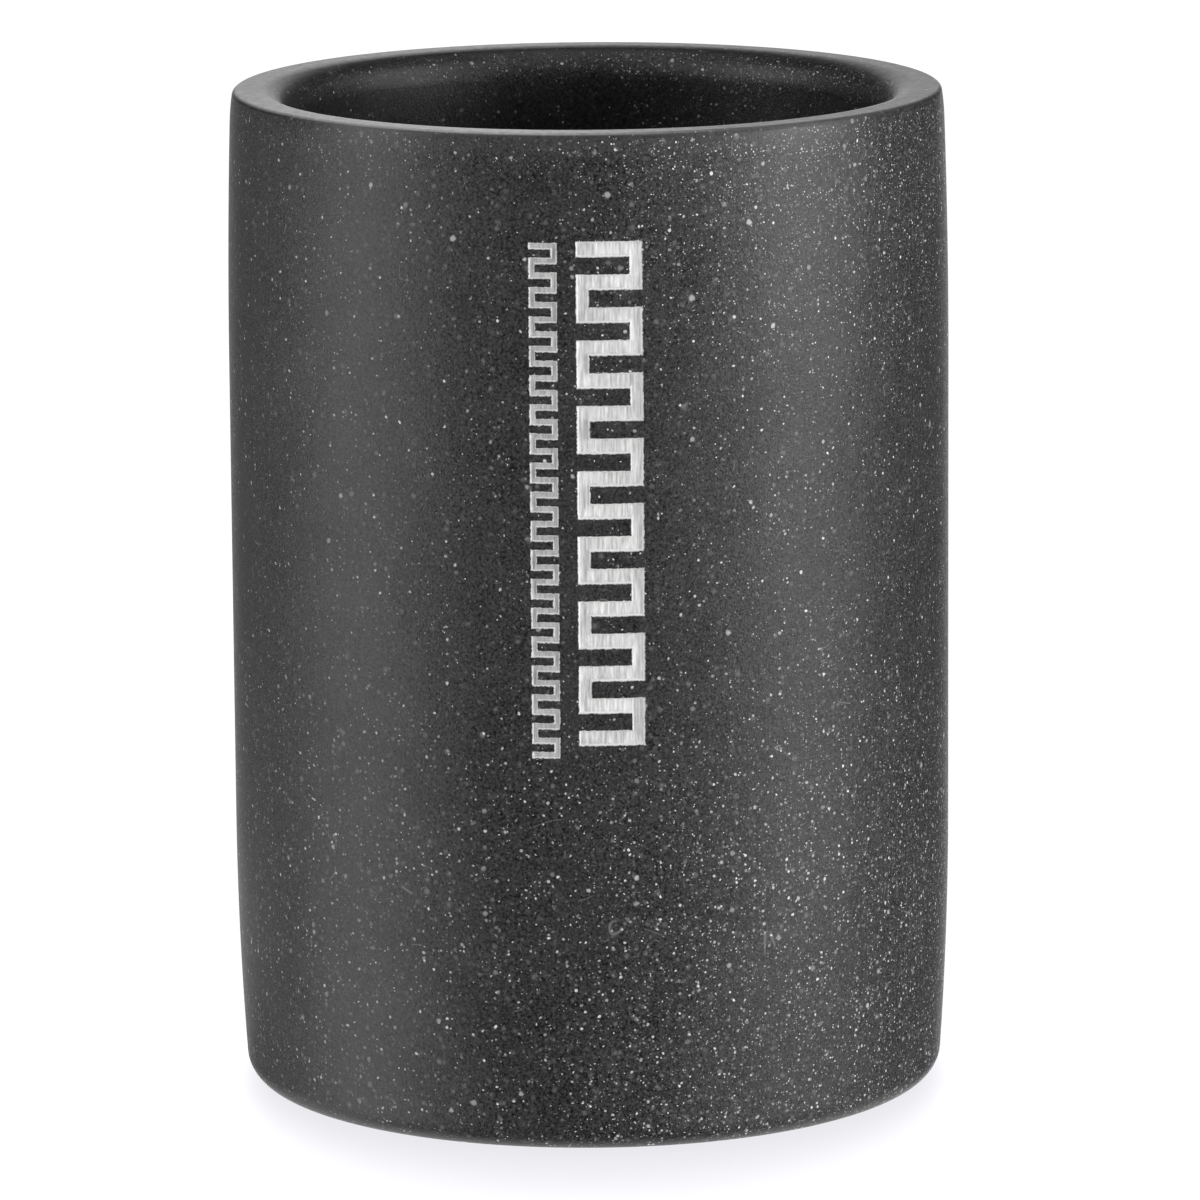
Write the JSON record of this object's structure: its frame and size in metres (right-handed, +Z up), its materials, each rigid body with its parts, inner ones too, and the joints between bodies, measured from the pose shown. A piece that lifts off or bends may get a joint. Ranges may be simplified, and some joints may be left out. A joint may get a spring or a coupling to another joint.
{
  "type": "bathroom tumbler",
  "caption": "Free-standing thick-walled round cup of speckled cast resin, open at the top, with an engraved paint-filled meander on the front and a foam pad under the base.",
  "frame": {"origin": "centre of the pad's underside, on the surface the tumbler stands on", "axes": "+Z up along the cup's axis, -Y towards the ornament on the front, +X to the right of the front"},
  "size_m": [0.076, 0.076, 0.1065],
  "materials": {
    "resin": "satin cast resin with fine white grains",
    "paint": "matte white fill",
    "foam": "closed-cell foam",
    "adhesive": "translucent adhesive film"
  },
  "bodies": {
    "root": {"cup_body": "resin", "ornament_bold": "paint", "ornament_fine": "paint", "base_pad": "foam", "pad_adhesive": "adhesive"}
  },
  "joints": []
}
